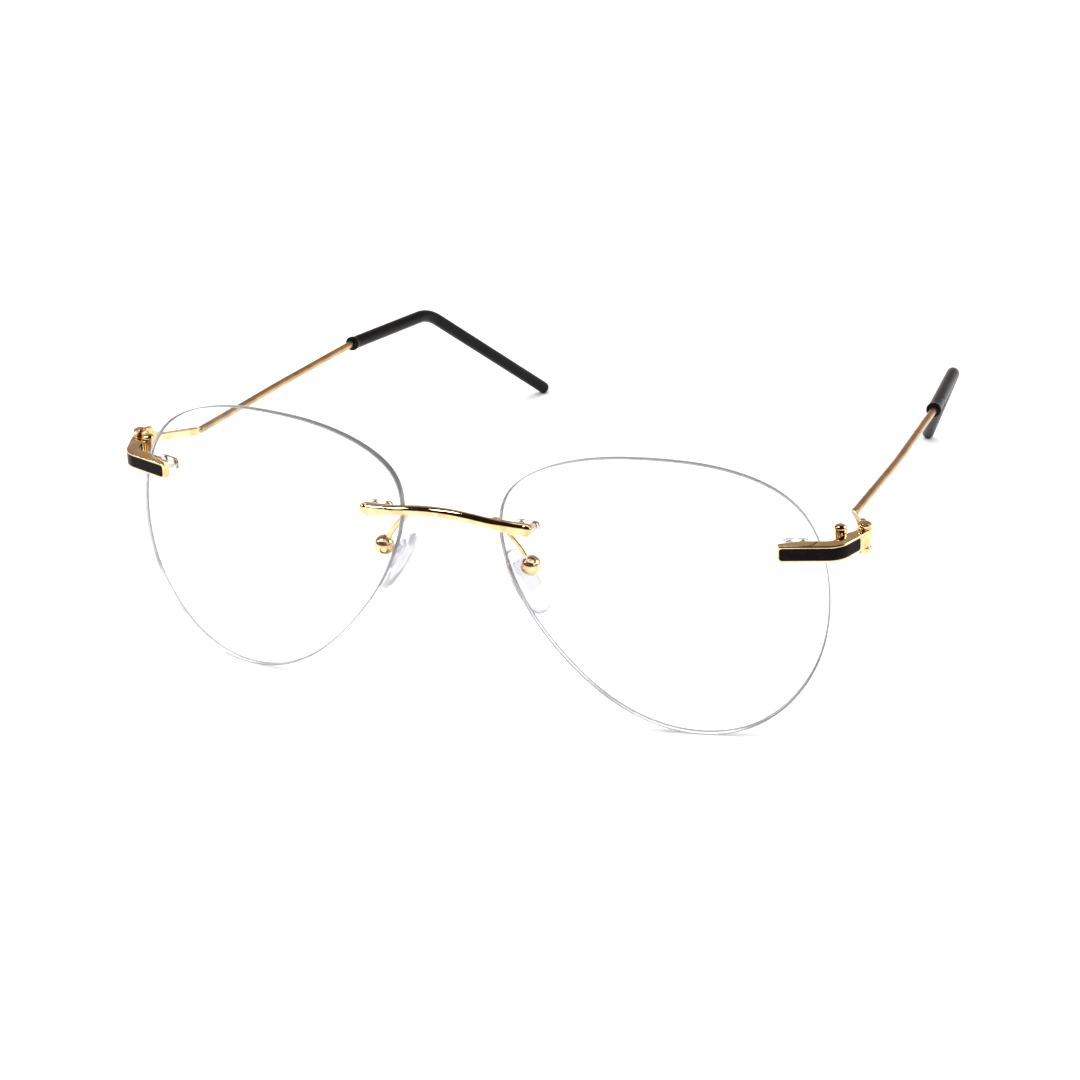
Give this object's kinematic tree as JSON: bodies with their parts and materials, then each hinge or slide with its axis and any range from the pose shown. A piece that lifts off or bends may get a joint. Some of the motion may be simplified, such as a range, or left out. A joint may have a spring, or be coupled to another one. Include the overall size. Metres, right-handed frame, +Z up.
{
  "type": "rimless eyeglasses",
  "caption": "Rimless eyeglasses with aviator-shaped clear lenses, gold bridge and end pieces with black inlays, folding wire temples and black silicone tips.",
  "frame": {"origin": "middle of the footprint, on the table that the glasses stand on with open temples", "axes": "+X towards the wearer's left, +Y back along the open temples, +Z up"},
  "size_m": [0.1358, 0.1526, 0.049],
  "materials": {
    "gold": "polished gold plating",
    "temple_gold": "warm gold plating, drawn wire",
    "enamel": "glossy black enamel",
    "black_tip": "satin black silicone",
    "lens": "clear, coated, polished edge",
    "clear_sleeve": "clear moulded plastic",
    "pad_silicone": "translucent silicone"
  },
  "bodies": {
    "front": {"bridge": "gold", "lens_left": "lens", "end_piece_left": "gold", "end_piece_inlay_left": "enamel", "end_piece_lug_left": "gold", "end_piece_sleeve_left": "clear_sleeve", "bridge_sleeve_left": "clear_sleeve", "pad_arm_left": "gold", "pad_box_left": "gold", "pad_screw_left": "gold", "hinge_screw_left": "gold", "hinge_washer_lower_left": "gold", "hinge_washer_upper_left": "gold", "lens_right": "lens", "end_piece_right": "gold", "end_piece_inlay_right": "enamel", "end_piece_lug_right": "gold", "end_piece_sleeve_right": "clear_sleeve", "bridge_sleeve_right": "clear_sleeve", "pad_arm_right": "gold", "pad_box_right": "gold", "pad_screw_right": "gold", "hinge_screw_right": "gold", "hinge_washer_lower_right": "gold", "hinge_washer_upper_right": "gold"},
    "temple_left": {"temple_hinge_left": "gold", "temple_wire_left": "temple_gold", "temple_tip_left": "black_tip"},
    "temple_right": {"temple_hinge_right": "gold", "temple_wire_right": "temple_gold", "temple_tip_right": "black_tip"},
    "nose_pad_left": {"nose_pad_left": "pad_silicone", "pad_insert_left": "pad_silicone"},
    "nose_pad_right": {"nose_pad_right": "pad_silicone", "pad_insert_right": "pad_silicone"}
  },
  "joints": [
    {"name": "temple_left_fold", "type": "hinge", "parent": "front", "child": "temple_left", "pos_m": [0.0667, -0.05648, 0.03525], "axis": [0, 0, 1], "range_deg": [0, 82]},
    {"name": "temple_right_fold", "type": "hinge", "parent": "front", "child": "temple_right", "pos_m": [-0.0667, -0.05648, 0.03525], "axis": [0, 0, -1], "range_deg": [0, 76]},
    {"name": "nose_pad_left_rock", "type": "hinge", "parent": "front", "child": "nose_pad_left", "pos_m": [0.0134, -0.06838, 0.0278], "axis": [-0.4159, -0.8765, -0.2426], "range_deg": [-12, 4]},
    {"name": "nose_pad_right_rock", "type": "hinge", "parent": "front", "child": "nose_pad_right", "pos_m": [-0.0134, -0.06838, 0.0278], "axis": [-0.4159, 0.8765, 0.2426], "range_deg": [-12, 4]}
  ]
}
